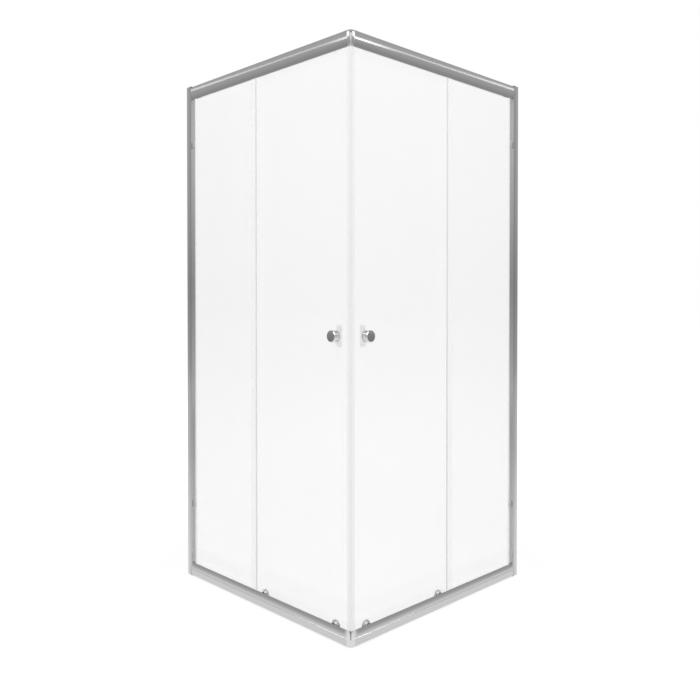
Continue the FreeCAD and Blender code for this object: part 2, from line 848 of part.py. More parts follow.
def handle_washers():
    """Soft washers on both faces of the glass, the outer one with a sleeve through the hole."""
    bore = STUD_R + SHAFT_GAP
    sleeve_r = GLASS_HOLE_R - RUN_GAP
    outer = turned(
        ROLLER_FRONT_S,
        HANDLE_Z,
        (knob_base_e(), bore),
        [
            (knob_base_e(), KNOB_NECK_R),
            (DOOR_E, KNOB_NECK_R),
            (DOOR_E, sleeve_r),
            (DOOR_BACK_E, sleeve_r),
            (DOOR_BACK_E, bore),
        ],
    )
    inner = turned(
        ROLLER_FRONT_S,
        HANDLE_Z,
        (DOOR_BACK_E, bore),
        [
            (DOOR_BACK_E, HANDLE_BASE_R),
            (handle_base_e(), HANDLE_BASE_R),
            (handle_base_e(), bore),
        ],
    )
    return [outer, inner]


def inner_handle():
    """Round base with an upright bar, inside the cabin."""
    base = handle_base_e()
    bar_e = base + HANDLE_BASE_T
    plate = rod(HANDLE_BASE_R, ROLLER_FRONT_S, HANDLE_Z, base, bar_e)
    bar = box(
        ROLLER_FRONT_S - BAR_W / 2,
        ROLLER_FRONT_S + BAR_W / 2,
        bar_e,
        bar_e + BAR_T,
        HANDLE_Z - BAR_H / 2,
        HANDLE_Z + BAR_H / 2,
    )
    outer_edges = [edge for edge in bar.Edges if edge.BoundBox.YMin > bar_e]
    bar = bar.makeFillet(BAR_EDGE_R, outer_edges)
    bore = rod(STUD_R + SHAFT_GAP, ROLLER_FRONT_S, HANDLE_Z, base - OVERRUN, base + STUD_BITE + RUN_GAP)
    return plate.fuse(bar).cut(bore).removeSplitter()


def handle_screw():
    return rod(STUD_R, ROLLER_FRONT_S, HANDLE_Z, knob_base_e() - STUD_BITE, handle_base_e() + STUD_BITE)


def upper_axle(s):
    """Turned stud through the glass: outer head, sleeve, collar, journal and end flange."""
    sleeve_r = GLASS_HOLE_R - RUN_GAP
    shoulder = UPPER_WHEEL_E - SLIDER_GAP
    end = UPPER_WHEEL_E + WHEEL_W + SLIDER_GAP
    return turned(
        s,
        UPPER_AXIS_Z,
        (DOOR_E - UPPER_HEAD_T, 0),
        [
            (DOOR_E - UPPER_HEAD_T, UPPER_HEAD_R),
            (DOOR_E, UPPER_HEAD_R),
            (DOOR_E, sleeve_r),
            (DOOR_BACK_E, sleeve_r),
            (DOOR_BACK_E, UPPER_COLLAR_R),
            (shoulder, UPPER_COLLAR_R),
            (shoulder, UPPER_JOURNAL_R),
            (end, UPPER_JOURNAL_R),
            (end, AXLE_END_R),
            (end + AXLE_END_T, AXLE_END_R),
            (end + AXLE_END_T, 0),
        ],
    )


def grooved_wheel(s, z, start_e, bore, tread, rim):
    """Nylon wheel with a groove that straddles the track rib."""
    middle = start_e + WHEEL_W / 2
    groove = TRACK_W / 2 + RUN_GAP
    return turned(
        s,
        z,
        (start_e, bore),
        [
            (start_e, rim),
            (middle - groove, rim),
            (middle - groove, tread),
            (middle + groove, tread),
            (middle + groove, rim),
            (start_e + WHEEL_W, rim),
            (start_e + WHEEL_W, bore),
        ],
    )


def upper_wheel(s):
    return grooved_wheel(
        s, UPPER_AXIS_Z, UPPER_WHEEL_E, UPPER_JOURNAL_R + SHAFT_GAP, UPPER_TREAD_R, UPPER_WHEEL_R
    )


def lower_wheel(s):
    start_e = LOWER_TRACK_E - WHEEL_W / 2
    return grooved_wheel(s, LOWER_PIN_Z, start_e, LOWER_PIN_R + SHAFT_GAP, LOWER_TREAD_R, LOWER_WHEEL_R)


def lower_cap(s):
    """Chrome cone on the outer face of the glass, with a stub that screws into the housing."""
    face = DOOR_E - CONE_LEN
    rim = DOOR_E - CONE_RIM
    waist = ((rim + face) / 2, (CONE_BASE_R + CONE_FACE_R) / 2 + CONE_RIM / 2)
    cone = turned(
        s,
        LOWER_AXIS_Z,
        (DOOR_E + CONE_STUB_LEN, 0),
        [
            (DOOR_E + CONE_STUB_LEN, CONE_STUB_R),
            (DOOR_E, CONE_STUB_R),
            (DOOR_E, CONE_BASE_R),
            (rim, CONE_BASE_R),
            (waist, (face, CONE_FACE_R)),
            (face, 0),
        ],
    )
    return cone.cut(wheel_room(s))


def wheel_room(s):
    """Room under the cap and the housing in which the lower wheel lifts."""
    reach = CONE_BASE_R + OVERRUN
    top = LOWER_PIN_Z + LOWER_WHEEL_R + RELEASE_LIFT + RUN_GAP
    return box(s - reach, s + reach, 0, RAIL_DEPTH, 0, top)


def lug_top():
    return LOWER_AXIS_Z - POCKET_DROP + RUN_GAP + LUG_H


def pocket_heights():
    """Floor and roof of the spring's pocket.

    The roof leaves the packed spring and the release lift above the lug.
    """
    return LOWER_AXIS_Z - POCKET_DROP, lug_top() + SPRING_PACKED + RELEASE_LIFT


def lower_housing(s):
    """Moulded body behind the glass that guides the release slider and holds its spring."""
    back = DOOR_BACK_E + HOUSING_T
    sleeve_e = DOOR_E + WALL
    body = rod(HOUSING_R, s, LOWER_AXIS_Z, DOOR_BACK_E, back)
    body = body.fuse(rod(GLASS_HOLE_R - RUN_GAP, s, LOWER_AXIS_Z, sleeve_e, DOOR_BACK_E))
    bore_end = DOOR_E + CONE_STUB_LEN + RUN_GAP
    body = body.cut(rod(CONE_STUB_R + SHAFT_GAP, s, LOWER_AXIS_Z, sleeve_e - OVERRUN, bore_end))
    half = SLIDER_W / 2 + SLIDER_GAP
    slot = box(
        s - half,
        s + half,
        SLIDER_E - SLIDER_GAP,
        SLIDER_E + SLIDER_T + SLIDER_GAP,
        LOWER_AXIS_Z - HOUSING_R - OVERRUN,
        LOWER_AXIS_Z + HOUSING_R + OVERRUN,
    )
    low, high = pocket_heights()
    room = SPRING_ROOM / 2
    pocket = box(s - room, s + room, SLIDER_E + SLIDER_T, SLIDER_E + SLIDER_T + SPRING_ROOM, low, high)
    return body.cut([slot, pocket, wheel_room(s)]).removeSplitter()


def lower_slider(s):
    """Release slider: plate with finger tab, lug under the spring, and the pin of the lower wheel."""
    half = SLIDER_W / 2
    top = LOWER_AXIS_Z + HOUSING_R + TAB_LIFT + TAB_T
    plate = box(s - half, s + half, SLIDER_E, SLIDER_E + SLIDER_T, LOWER_PIN_Z - SLIDER_TAIL, top)
    tab = box(s - half, s + half, SLIDER_E, SLIDER_E + TAB_REACH, top - TAB_T, top)
    room = SPRING_ROOM / 2 - SLIDER_GAP
    lug_e = SLIDER_E + SLIDER_T
    lug = box(s - room, s + room, lug_e, lug_e + SPRING_ROOM - SLIDER_GAP, lug_top() - LUG_H, lug_top())
    wheel_e = LOWER_TRACK_E - WHEEL_W / 2
    collar_e = wheel_e + WHEEL_W + SLIDER_GAP
    head_e = wheel_e - SLIDER_GAP - LOWER_PIN_HEAD_T
    pin = rod(LOWER_PIN_R, s, LOWER_PIN_Z, head_e, SLIDER_E)
    head = rod(LOWER_PIN_HEAD_R, s, LOWER_PIN_Z, head_e, head_e + LOWER_PIN_HEAD_T)
    collar = rod(LOWER_COLLAR_R, s, LOWER_PIN_Z, collar_e, SLIDER_E)
    return plate.fuse([tab, lug, pin, head, collar]).removeSplitter()


def lower_spring(s):
    """Coil spring between the slider's lug and the housing's pocket roof."""
    low = lug_top() + SPRING_WIRE_R
    high = pocket_heights()[1] - SPRING_WIRE_R
    axis_e = SLIDER_E + SLIDER_T + SPRING_ROOM / 2
    helix = Part.makeHelix((high - low) / SPRING_TURNS, high - low, SPRING_R)
    helix.translate(v(s, axis_e, low))
    wire_end = Part.Wire(Part.makeCircle(SPRING_WIRE_R, v(s + SPRING_R, axis_e, low), ALONG_E))
    return Part.Wire(helix.Edges).makePipeShell([wire_end], True, True)


def door_stops():
    """Rubber stops on the upper track that catch the roller wheels at each end of the travel."""
    closing = ROLLER_FRONT_S - UPPER_WHEEL_R - RUN_GAP - STOP_LEN
    opening = ROLLER_REAR_S + TRAVEL + UPPER_WHEEL_R + RUN_GAP
    ledge = HEIGHT - LEDGE_DROP
    half = TRACK_W / 2
    stops = []
    for s in (closing, opening):
        stop = box(s, s + STOP_LEN, UPPER_WHEEL_E, RAIL_DEPTH - WALL, ledge, ledge + STOP_H)
        rib = box(
            s - OVERRUN,
            s + STOP_LEN + OVERRUN,
            UPPER_TRACK_E - half,
            UPPER_TRACK_E + half,
            ledge,
            UPPER_TRACK_Z,
        )
        stops.append(stop.cut(rib))
    return stops


def on_right(shape):
    placed = shape.copy()
    placed.rotate(v(0, 0, 0), ALONG_Z, 90)
    placed.translate(v(HALF, -HALF, 0))
    return placed


def on_left(shape):
    return on_right(shape).mirror(v(0, 0, 0), v(1, 1, 0))


def export(name, shapes):
    solids = [solid for shape in shapes for solid in shape.Solids]
    whole = solids[0] if len(solids) == 1 else Part.makeCompound(solids)
    whole.exportStep(f"parts/{name}.step")


def side_pieces():
    """Every piece that each side has, by node name."""
    low_hole, high_hole = grub_holes()
    places = ROLLER_PLACES.values()
    pieces = {
        "wall_channel": [wall_channel()],
        "side_post": [side_post()],
        "glazing_channel": [glazing_channel()],
        "top_rail": [top_rail().cut(high_hole)],
        "bottom_rail": [bottom_rail().cut(low_hole)],
        "fixed_glass": [fixed_glass()],
        "fixed_glass_gasket": fixed_glass_gasket(),
        "fixed_edge_seal": [fixed_edge_seal()],
        "door_glass": [door_glass()],
        "magnet_seal": [magnet_seal()],
        "magnet_strip": [magnet_strip()],
        "door_edge_seal": [door_edge_seal()],
        "door_knob": [door_knob()],
        "handle_washers": handle_washers(),
        "inner_handle": [inner_handle()],
        "handle_screw": [handle_screw()],
        "upper_axles": [upper_axle(s) for s in places],
        "lower_caps": [lower_cap(s) for s in places],
        "lower_housings": [lower_housing(s) for s in places],
        "lower_springs": [lower_spring(s) for s in places],
    }
    for place, s in ROLLER_PLACES.items():
        pieces[f"upper_wheel_{place}"] = [upper_wheel(s)]
        pieces[f"lower_wheel_{place}"] = [lower_wheel(s)]
        pieces[f"lower_slider_{place}"] = [lower_slider(s)]
    return pieces


def shared_pieces():
    """Small pieces whose copies on both sides share one node."""
    return {
        "connector_screws": connector_screws(),
        "rail_screws": rail_screws(),
        "adjusting_screws": adjusting_screws(),
        "clamp_screws": clamp_screws(),
        "screw_caps": screw_caps(),
        "door_stops": door_stops(),
    }


def main():
    os.makedirs("parts", exist_ok=True)
    for name, shapes in side_pieces().items():
        export(f"{name}_left", [on_left(shape) for shape in shapes])
        export(f"{name}_right", [on_right(shape) for shape in shapes])
    for name, shapes in shared_pieces().items():
        export(name, [put(shape) for shape in shapes for put in (on_left, on_right)])
    export("top_corner_connector", [on_right(top_corner_connector())])
    export("bottom_corner_connector", [on_right(bottom_corner_connector())])


main()
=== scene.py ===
import json
import math

import bpy
from mathutils import Matrix, Quaternion, Vector


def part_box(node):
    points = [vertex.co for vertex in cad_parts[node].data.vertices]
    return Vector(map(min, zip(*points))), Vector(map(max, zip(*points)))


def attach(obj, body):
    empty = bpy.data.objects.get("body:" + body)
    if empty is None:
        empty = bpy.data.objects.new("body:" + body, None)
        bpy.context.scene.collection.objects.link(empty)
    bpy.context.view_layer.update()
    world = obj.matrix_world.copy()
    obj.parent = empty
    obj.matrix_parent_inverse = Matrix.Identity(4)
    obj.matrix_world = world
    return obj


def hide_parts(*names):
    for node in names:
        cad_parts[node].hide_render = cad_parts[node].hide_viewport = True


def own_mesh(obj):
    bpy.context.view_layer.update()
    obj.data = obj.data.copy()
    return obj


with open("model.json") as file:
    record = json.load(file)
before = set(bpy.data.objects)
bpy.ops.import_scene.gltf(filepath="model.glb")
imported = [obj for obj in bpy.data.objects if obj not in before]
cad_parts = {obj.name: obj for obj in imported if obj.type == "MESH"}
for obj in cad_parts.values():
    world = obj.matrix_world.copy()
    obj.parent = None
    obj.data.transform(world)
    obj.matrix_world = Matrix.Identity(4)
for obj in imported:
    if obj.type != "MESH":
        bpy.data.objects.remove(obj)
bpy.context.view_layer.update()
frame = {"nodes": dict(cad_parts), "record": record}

nodes = frame["nodes"]
SIDES = ("left", "right")
ENDS = ("front", "rear")


# Node helpers

def fill(tree, socket, value):
    """Links a socket to an output, or sets it to a plain value."""
    if isinstance(value, bpy.types.NodeSocket):
        tree.links.new(value, socket)
    else:
        socket.default_value = value


def add(tree, kind, inputs=None, **settings):
    """Adds a shader node, sets its options and fills its sockets."""
    made = tree.nodes.new(kind)
    for key, value in settings.items():
        setattr(made, key, value)
    for key, value in (inputs or {}).items():
        fill(tree, made.inputs[key], value)
    return made


def feed(tree, made, **sockets):
    """Fills sockets of a node, written with _ for a space."""
    for key, value in sockets.items():
        fill(tree, made.inputs[key.replace("_", " ")], value)


def maths(tree, operation, *values):
    return add(tree, "ShaderNodeMath", dict(enumerate(values)), operation=operation).outputs["Value"]


def length(tree, vector):
    return add(tree, "ShaderNodeVectorMath", {0: vector}, operation="LENGTH").outputs["Value"]


def object_place(tree):
    return add(tree, "ShaderNodeTexCoord").outputs["Object"]


def noise(tree, place, scale, detail, roughness=0.5, **more):
    made = add(tree, "ShaderNodeTexNoise", {
        "Vector": place, "Scale": scale, "Detail": detail, "Roughness": roughness, **more,
    })
    return made.outputs["Fac"]


def bump(tree, height, strength, distance):
    made = add(tree, "ShaderNodeBump", {
        "Height": height, "Strength": strength, "Distance": distance,
    })
    return made.outputs["Normal"]


def between(tree, value, low, high, start=0.0, end=1.0):
    """Carries a value from the range start to end over to the range low to high."""
    made = add(tree, "ShaderNodeMapRange", {
        "Value": value, "From Min": start, "From Max": end, "To Min": low, "To Max": high,
    })
    return made.outputs["Result"]


def ramp(tree, factor, stops):
    """Grey ramp through (place, tone) stops."""
    made = add(tree, "ShaderNodeValToRGB", {"Fac": factor})
    band = made.color_ramp
    while len(band.elements) < len(stops):
        band.elements.new(0.5)
    for element, (place, tone) in zip(band.elements, stops):
        element.position = place
        element.color = (tone, tone, tone, 1)
    return made.outputs["Color"]


def shade(tone, share):
    return tuple(share * channel for channel in tone)


def blend_colours(tree, factor, first, second):
    """Mix of two colours, each a plain colour or an output."""
    ends = [(*end, 1) if isinstance(end, tuple) else end for end in (first, second)]
    made = add(tree, "ShaderNodeMix", {0: factor, 6: ends[0], 7: ends[1]}, data_type="RGBA")
    return made.outputs[2]


def new_group(name, inputs, outputs):
    """Empty node group with its sockets, and its two end nodes."""
    group = bpy.data.node_groups.new(name, "ShaderNodeTree")
    for label, kind, value in inputs:
        socket = group.interface.new_socket(label, in_out="INPUT", socket_type=kind)
        if value is not None:
            socket.default_value = value
    for label, kind in outputs:
        group.interface.new_socket(label, in_out="OUTPUT", socket_type=kind)
    return group, group.nodes.new("NodeGroupInput"), group.nodes.new("NodeGroupOutput")


def grouped(tree, group, **inputs):
    """Outputs of a node group that is placed with its own values."""
    made = add(tree, "ShaderNodeGroup", node_tree=group)
    feed(tree, made, **inputs)
    return made.outputs


FLOAT = "NodeSocketFloat"
VECTOR = "NodeSocketVector"


def make_die_lines():
    """Fine lines that the extrusion die leaves along a profile, with slow changes of sheen."""
    group, start, end = new_group(
        "die_lines",
        [("Vector", VECTOR, None), ("Line Scale", FLOAT, 900.0), ("Patch Scale", FLOAT, 7.0)],
        [("Lines", FLOAT), ("Patches", FLOAT)],
    )
    given = start.outputs
    lines = noise(group, given["Vector"], given["Line Scale"], detail=3.0, roughness=0.6)
    patches = noise(group, given["Vector"], given["Patch Scale"], detail=2.0)
    feed(group, end, Lines=lines, Patches=patches)
    return group


def make_wiped_marks():
    """Faint cloudy marks of wiping and dried water on a bright surface."""
    group, start, end = new_group(
        "wiped_marks",
        [("Vector", VECTOR, None), ("Scale", FLOAT, 14.0), ("Spot Scale", FLOAT, 260.0)],
        [("Clouds", FLOAT), ("Spots", FLOAT)],
    )
    given = start.outputs
    clouds = noise(
        group, given["Vector"], given["Scale"], detail=4.0, roughness=0.62, Distortion=0.6
    )
    cells = add(group, "ShaderNodeTexVoronoi", {
        "Vector": given["Vector"], "Scale": given["Spot Scale"],
    })
    dots = between(group, cells.outputs["Distance"], low=1.0, high=0.0, start=0.04, end=0.16)
    rare = between(group, clouds, low=0.0, high=1.0, start=0.55, end=0.7)
    feed(group, end, Clouds=clouds, Spots=maths(group, "MULTIPLY", dots, rare))
    return group


DIE_LINES = make_die_lines()
WIPED_MARKS = make_wiped_marks()


# Finishes

def new_material(name):
    """Material with its tree, its principled shader and the object coordinates."""
    material = bpy.data.materials.new(name)
    material.use_nodes = True
    tree = material.node_tree
    return material, tree, tree.nodes["Principled BSDF"], object_place(tree)


LINE_SHADE = 0.965
SPOT_SHADE = 0.9
WIPED_SHADE = 0.95


def anodised_aluminium(name, stretch, tone, rough):
    """Bright anodised extrusion: stretch is small along the profile's length."""
    material, tree, shader, place = new_material(name)
    along = add(tree, "ShaderNodeMapping", {"Vector": place, "Scale": stretch}).outputs["Vector"]
    drawn = grouped(tree, DIE_LINES, Vector=along)
    wiped = grouped(tree, WIPED_MARKS, Vector=place, Scale=9.0, Spot_Scale=210.0)
    colour = blend_colours(tree, drawn["Lines"], shade(tone, LINE_SHADE), tone)
    spotted = blend_colours(tree, wiped["Spots"], colour, shade(tone, SPOT_SHADE))
    haze = between(tree, wiped["Clouds"], -0.02, 0.03)
    sheen = between(tree, drawn["Patches"], rough - 0.03, rough + 0.03)
    feed(
        tree, shader, Base_Color=spotted, Metallic=1.0, Roughness=maths(tree, "ADD", haze, sheen),
        Normal=bump(tree, drawn["Lines"], strength=0.02, distance=0.0002),
    )
    return material


def chrome_plate(name, tone, rough):
    """Bright plated finish with a trace of wiping."""
    material, tree, shader, place = new_material(name)
    clouds = grouped(tree, WIPED_MARKS, Vector=place, Scale=60.0, Spot_Scale=420.0)["Clouds"]
    feed(
        tree, shader, Base_Color=blend_colours(tree, clouds, shade(tone, WIPED_SHADE), tone),
        Metallic=1.0, Roughness=between(tree, clouds, rough, rough + 0.05),
        Normal=bump(tree, clouds, strength=0.04, distance=0.0003),
    )
    return material


def frosted_glass():
    """Acid-etched pane: fine even grain, slightly uneven haze."""
    material, tree, shader, place = new_material("frosted_pane_glass")
    grain = noise(tree, place, scale=2600.0, detail=2.0, roughness=0.7)
    haze = noise(tree, place, scale=3.5, detail=3.0, roughness=0.55)
    feed(
        tree, shader,
        Base_Color=blend_colours(tree, haze, (0.955, 0.96, 0.96), (0.97, 0.972, 0.972)),
        Metallic=0.0, Transmission_Weight=0.5, IOR=1.45,
        Roughness=between(tree, haze, 0.03, 0.05), Specular_IOR_Level=0.1,
        Normal=bump(tree, grain, strength=0.05, distance=0.0002),
    )
    return material


ALONG_STRIP = (1, 1, 0.0001)
# Grey of painted shade for the end faces of the clear edge strips.
PAINTED_END_SHADE = (0.76, 0.76, 0.755)


def soft_strip(name, low, high, clear, index, rough, painted_shade_axis=None):
    """Extruded soft plastic strip with fine lines along it, and painted shade that greys its end faces
    across the given axis.
    """
    material, tree, shader, place = new_material(name)
    along = add(tree, "ShaderNodeMapping", {"Vector": place, "Scale": ALONG_STRIP})
    drawn = grouped(
        tree, DIE_LINES, Vector=along.outputs["Vector"], Line_Scale=700.0, Patch_Scale=40.0
    )
    colour = blend_colours(tree, drawn["Patches"], low, high)
    # Painted shade: faces across the given axis turn greyer, drawing the seam's dark line into the
    # colour.
    if painted_shade_axis:
        normal = add(tree, "ShaderNodeTexCoord").outputs["Normal"]
        split = add(tree, "ShaderNodeSeparateXYZ", {"Vector": normal}).outputs
        colour = blend_colours(tree, maths(tree, "ABSOLUTE", split[painted_shade_axis]), colour, PAINTED_END_SHADE)
    feed(
        tree, shader, Base_Color=colour, Metallic=0.0, Transmission_Weight=clear, IOR=index,
        Roughness=between(tree, drawn["Lines"], rough, rough + 0.12),
        Normal=bump(tree, drawn["Lines"], strength=0.03, distance=0.0002),
    )
    return material


FLOW_PER_GRAIN = 30
GRAIN_BUMP = 0.18


def moulded(name, low, high, rough, grain_scale, depth):
    """Moulded plastic or rubber with fine spark grain."""
    material, tree, shader, place = new_material(name)
    grain = noise(tree, place, grain_scale, detail=3.0, roughness=0.6)
    flow = noise(tree, place, grain_scale / FLOW_PER_GRAIN, detail=2.0)
    feed(
        tree, shader, Base_Color=blend_colours(tree, flow, low, high),
        Roughness=between(tree, grain, rough - 0.06, rough + 0.08),
        Normal=bump(tree, grain, GRAIN_BUMP, depth),
    )
    return material


def turned_steel():
    """Stainless fixings with turning marks and a little tarnish."""
    material, tree, shader, place = new_material("turned_stainless_steel")
    clouds = grouped(tree, WIPED_MARKS, Vector=place, Scale=120.0, Spot_Scale=900.0)["Clouds"]
    turned = noise(tree, place, scale=1500.0, detail=2.0)
    feed(
        tree, shader, Base_Color=blend_colours(tree, clouds, (0.46, 0.46, 0.46), (0.62, 0.62, 0.63)),
        Metallic=1.0, Roughness=between(tree, turned, 0.24, 0.36),
        Normal=bump(tree, turned, strength=0.1, distance=0.0001),
    )
    return material


ALUMINIUM = (0.63, 0.63, 0.635)
ALONG_X = (0.006, 1, 1)
ALONG_Y = (1, 0.006, 1)
ALONG_Z = (1, 1, 0.006)
EDGE_STRIP = ((0.955, 0.955, 0.95), (0.975, 0.975, 0.97), 0.3, 1.5, 0.25)
finishes = {
    "upright": anodised_aluminium("anodised_upright", ALONG_Z, (0.52, 0.52, 0.525), 0.12),
    "channel": anodised_aluminium("anodised_wall_channel", ALONG_Z, (0.64, 0.64, 0.645), 0.12),
    "glazing": anodised_aluminium("anodised_glazing", ALONG_Z, (0.9, 0.885, 0.865), 0.14),
    "left": anodised_aluminium("anodised_rail_left", ALONG_X, ALUMINIUM, 0.1),
    "right": anodised_aluminium("anodised_rail_right", ALONG_Y, ALUMINIUM, 0.1),
    "chrome": chrome_plate("bright_chrome", (0.76, 0.76, 0.765), 0.04),
    "inlay": chrome_plate("smoked_chrome", (0.46, 0.46, 0.465), 0.08),
    "caps": chrome_plate("warm_chrome", (0.8, 0.755, 0.725), 0.07),
    "frosted_glass": frosted_glass(),
    "clear_seal": soft_strip(
        "clear_edge_strip", (0.965, 0.968, 0.968), (0.985, 0.986, 0.986), 0.3, 1.42, 0.25
    ),
    "edge_left": soft_strip("edge_strip_left", *EDGE_STRIP, painted_shade_axis="X"),
    "edge_right": soft_strip("edge_strip_right", *EDGE_STRIP, painted_shade_axis="Y"),
    "milky_seal": soft_strip(
        "milky_magnet_strip", (0.895, 0.9, 0.9), (0.925, 0.927, 0.927), 0.1, 1.42, 0.24
    ),
    "pale_gasket": soft_strip(
        "pale_pane_gasket", (0.74, 0.745, 0.745), (0.82, 0.825, 0.825), 0.25, 1.3, 0.3
    ),
    "soft_rubber": moulded(
        "grey_gasket_rubber", (0.3, 0.3, 0.31), (0.4, 0.4, 0.41), 0.55, 900.0, 0.0002
    ),
    "magnet": moulded("magnet_bar", (0.09, 0.085, 0.08), (0.16, 0.15, 0.14), 0.6, 700.0, 0.0002),
    "nylon": moulded("white_nylon", (0.78, 0.78, 0.76), (0.86, 0.86, 0.84), 0.42, 600.0, 0.0001),
    "steel": turned_steel(),
    "dark_plug": moulded(
        "dark_plug", (0.02, 0.019, 0.018), (0.035, 0.033, 0.032), 0.35, 800.0, 0.0001
    ),
    "dark_ring": moulded("dark_ring", (0.2, 0.19, 0.185), (0.26, 0.25, 0.24), 0.4, 800.0, 0.0001),
    "grey_cap": moulded("grey_cover_cap", (0.4, 0.4, 0.405), (0.46, 0.46, 0.46), 0.3, 500.0, 0.0001),
}


def finish_for(node, slot):
    """Finish of a solid: by its name where its slot has several, and otherwise by its slot."""
    side = node.rsplit("_", 1)[-1]
    if "magnet_seal" in node:
        return finishes["milky_seal"]
    if "gasket" in node:
        return finishes["pale_gasket"]
    if "fixed_edge_seal" in node:
        return finishes[f"edge_{side}"]
    if "lower_caps" in node:
        return finishes["caps"]
    if slot != "bright_aluminium":
        return finishes[slot]
    if "rail" in node:
        return finishes[side]
    if "wall_channel" in node:
        return finishes["channel"]
    return finishes["glazing" if "glazing" in node else "upright"]


for part in frame["record"]["subparts"]:
    for slot in nodes[part["node"]].material_slots:
        slot.material = finish_for(part["node"], part["material_slot"])


# Fine pieces, modelled on the left side and copied to the right

FACING_OUT = (math.pi / 2, 0, 0)
FACING_IN = (-math.pi / 2, 0, 0)
FACING_SHARE = 0.9
SMOOTH_ANGLE = math.radians(35)
TO_RIGHT = Matrix(((0, -1, 0, 0), (-1, 0, 0, 0), (0, 0, 1, 0), (0, 0, 0, 1)))


def begin(name, primitive, **options):
    """Starts a piece from a primitive, with its place kept in the mesh."""
    bpy.ops.object.select_all(action="DESELECT")
    primitive(**options)
    piece = bpy.context.active_object
    piece.name = name
    bpy.ops.object.transform_apply(location=True, rotation=True, scale=True)
    return piece


def select_faces(piece, wanted):
    """Goes to edit mode with just the wanted faces selected."""
    bpy.ops.object.mode_set(mode="EDIT")
    bpy.ops.mesh.select_mode(type="FACE")
    bpy.ops.mesh.select_all(action="DESELECT")
    bpy.ops.object.mode_set(mode="OBJECT")
    for face in piece.data.polygons:
        face.select = wanted(face)
    bpy.ops.object.mode_set(mode="EDIT")


def finish_piece(piece, finish):
    """Leaves edit mode, smooths the piece and gives it its finish."""
    bpy.ops.object.mode_set(mode="OBJECT")
    bpy.ops.object.select_all(action="DESELECT")
    piece.select_set(True)
    bpy.context.view_layer.objects.active = piece
    bpy.ops.object.shade_smooth_by_angle(angle=SMOOTH_ANGLE)
    piece.data.materials.append(finishes[finish])


def copied(piece, name, move):
    """Copy with its own mesh, carried by a matrix."""
    twin = piece.copy()
    twin.data = piece.data.copy()
    twin.data.transform(move)
    if move.determinant() < 0:
        twin.data.flip_normals()
    twin.name = name
    bpy.context.scene.collection.objects.link(twin)
    return twin


def settle(piece, body):
    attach(piece, body)


def on_both_sides(piece, body):
    """Seats a left piece on its body and its mirrored copy on the right one."""
    twin = copied(piece, piece.name.replace("left", "right"), TO_RIGHT)
    settle(piece, body)
    settle(twin, body.replace("left", "right"))


def faces_out(face):
    return face.normal.y < -FACING_SHARE


def faces_in(face):
    return face.normal.y > FACING_SHARE


def front_disc(radius):
    """Test for the flat front of a turned piece of this radius."""
    return lambda face: faces_out(face) and face.area > radius**2


def middle(box):
    return (box[0] + box[1]) / 2


INLAY_SHARE = 0.91
INLAY_T = 0.0012
INLAY_ROUND = 0.0003
INLAY_DISH = 0.0002
INLAY_RIM = 1 / 12
INLAY_SIDES = 64


def knob_inlay():
    """Dished plate in the front of the knob."""
    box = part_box("door_knob_left")
    radius = (box[1].z - box[0].z) / 2 * INLAY_SHARE
    centre = middle(box)
    piece = begin(
        "knob_inlay_left", bpy.ops.mesh.primitive_cylinder_add, vertices=INLAY_SIDES, radius=radius,
        depth=INLAY_T, location=(centre.x, box[0].y, centre.z), rotation=FACING_OUT,
    )
    select_faces(piece, faces_out)
    bpy.ops.mesh.bevel(offset=INLAY_ROUND, segments=3, affect="EDGES")
    select_faces(piece, front_disc(radius))
    bpy.ops.mesh.inset(thickness=radius * INLAY_RIM)
    bpy.ops.transform.translate(value=(0, INLAY_DISH, 0))
    finish_piece(piece, "inlay")
    on_both_sides(piece, "door_left")


def cap_axis():
    """Middle of the front cap on the left door, at its tip, and its base radius."""
    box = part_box("lower_caps_left")
    x = middle(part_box("lower_slider_front_left")).x
    radius = box[1].x - x
    return Vector((x, box[0].y, box[1].z - radius)), radius


def on_all_caps(piece):
    """Seats a piece of the front cap on the left door, and copies on the other three."""
    front = middle(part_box("lower_slider_front_left"))
    rear = middle(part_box("lower_slider_rear_left"))
    twin = copied(piece, piece.name.replace("front", "rear"), Matrix.Translation(rear - front))
    on_both_sides(twin, "door_left")
    on_both_sides(piece, "door_left")


TIP_SHARE = 0.56
TIP_T = 0.002
TIP_ROUND = 0.0005
TIP_RECESS = 0.0005
TIP_WALL = 1 / 8
TIP_FLOOR_RIM = 1 / 30
TIP_SIDES = 48


def cap_tip():
    """Dark plug with a round recess in the tip of a roller cap."""
    centre, cap_radius = cap_axis()
    radius = cap_radius * TIP_SHARE
    piece = begin(
        "cap_tip_front_left", bpy.ops.mesh.primitive_cylinder_add, vertices=TIP_SIDES,
        radius=radius, depth=TIP_T, location=centre, rotation=FACING_OUT,
    )
    select_faces(piece, faces_out)
    bpy.ops.mesh.bevel(offset=TIP_ROUND, segments=3, affect="EDGES")
    select_faces(piece, front_disc(radius))
    bpy.ops.mesh.inset(thickness=cap_radius * TIP_WALL)
    bpy.ops.mesh.extrude_region_move(TRANSFORM_OT_translate={"value": (0, TIP_RECESS, 0)})
    bpy.ops.mesh.inset(thickness=cap_radius * TIP_FLOOR_RIM)
    finish_piece(piece, "dark_plug")
    on_all_caps(piece)


RING_OUT = 0.0004
RING_IN = 0.0006
RING_T = 0.0023
RING_ROUND = RING_IN / 4
RING_FOOT_GAP = 0.0004
RING_SIDES = 64


